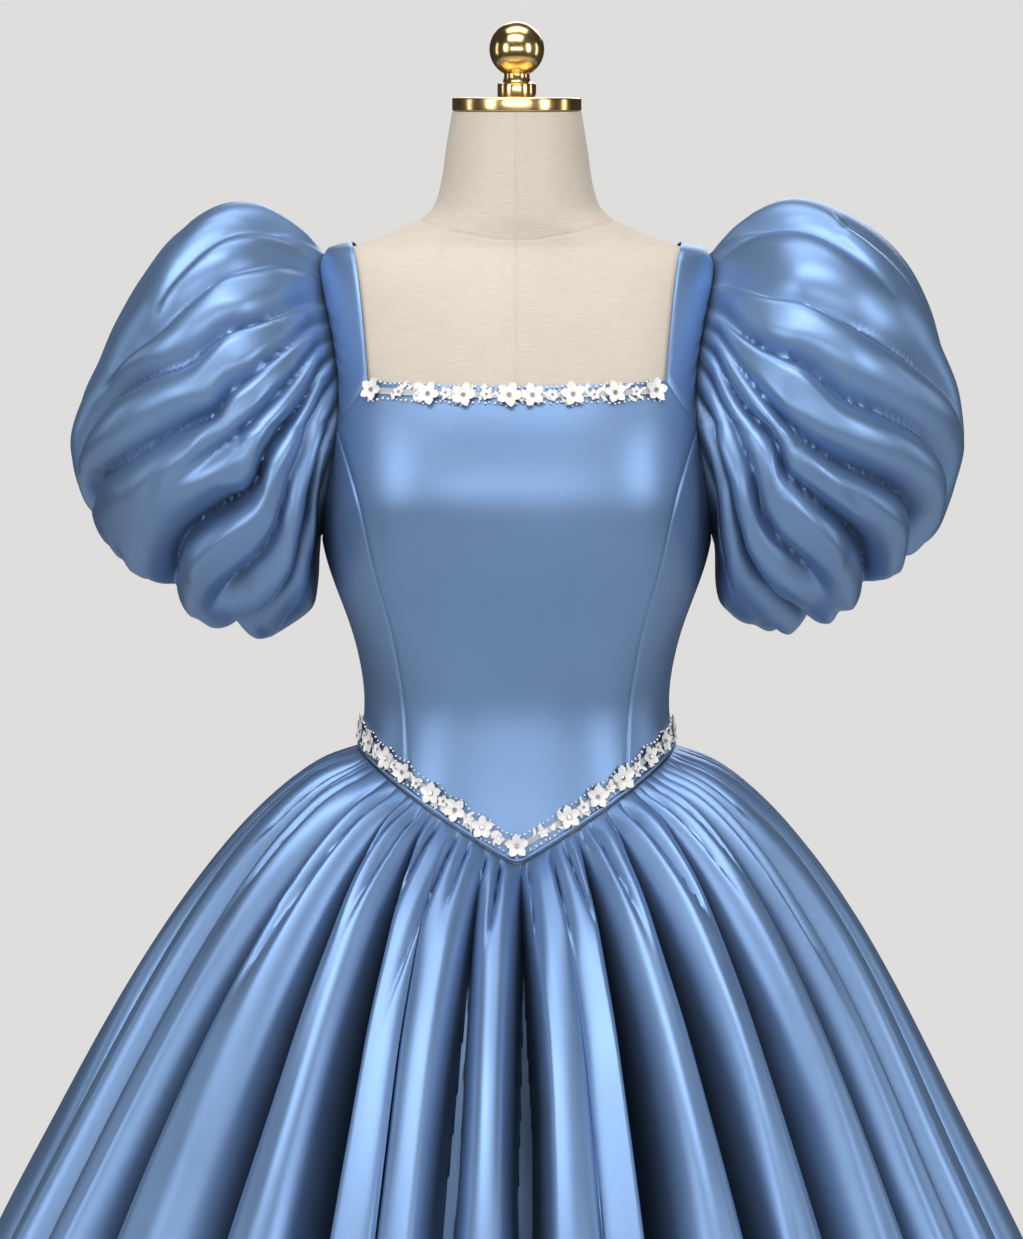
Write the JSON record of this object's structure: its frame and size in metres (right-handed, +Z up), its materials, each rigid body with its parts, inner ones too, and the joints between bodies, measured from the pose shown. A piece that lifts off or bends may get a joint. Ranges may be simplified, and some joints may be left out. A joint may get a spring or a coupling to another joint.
{
  "type": "satin ball gown on dress form",
  "caption": "Floor-length satin ball gown with puff sleeves, V waist and floral braid, on a limbless linen dress form with a gold neck cap and a round base.",
  "frame": {"origin": "on the floor, at the centre of the underside of the stand's base", "axes": "+Z up along the pole, -Y out of the gown's front, +X towards the gown's own left side"},
  "size_m": [1.4063, 1.3522, 1.6433],
  "materials": {
    "satin": "blue satin",
    "flower_braid": "off-white embroidered flowers with small pearls",
    "zip_tape": "blue woven tape",
    "linen": "natural linen cover",
    "polished_gold": "polished gold-coloured metal",
    "stand_iron": "black satin paint"
  },
  "bodies": {
    "root": {"bodice_front": "satin", "bodice_side_front_left": "satin", "bodice_side_front_right": "satin", "bodice_side_back_left": "satin", "bodice_side_back_right": "satin", "bodice_back_left": "satin", "bodice_back_right": "satin", "strap_front_left": "satin", "strap_front_right": "satin", "strap_back_left": "satin", "strap_back_right": "satin", "sleeve_left": "satin", "sleeve_right": "satin", "cuff_left": "satin", "cuff_right": "satin", "skirt_front": "satin", "skirt_side_front_left": "satin", "skirt_side_front_right": "satin", "skirt_side_left": "satin", "skirt_side_right": "satin", "skirt_back_left": "satin", "skirt_back_right": "satin", "waist_binding": "satin", "trim_neck": "flower_braid", "trim_waist": "flower_braid", "zip_back": "zip_tape", "form_torso": "linen", "neck_cap": "polished_gold", "neck_finial": "polished_gold", "form_pole": "stand_iron", "form_base": "stand_iron"}
  },
  "joints": []
}
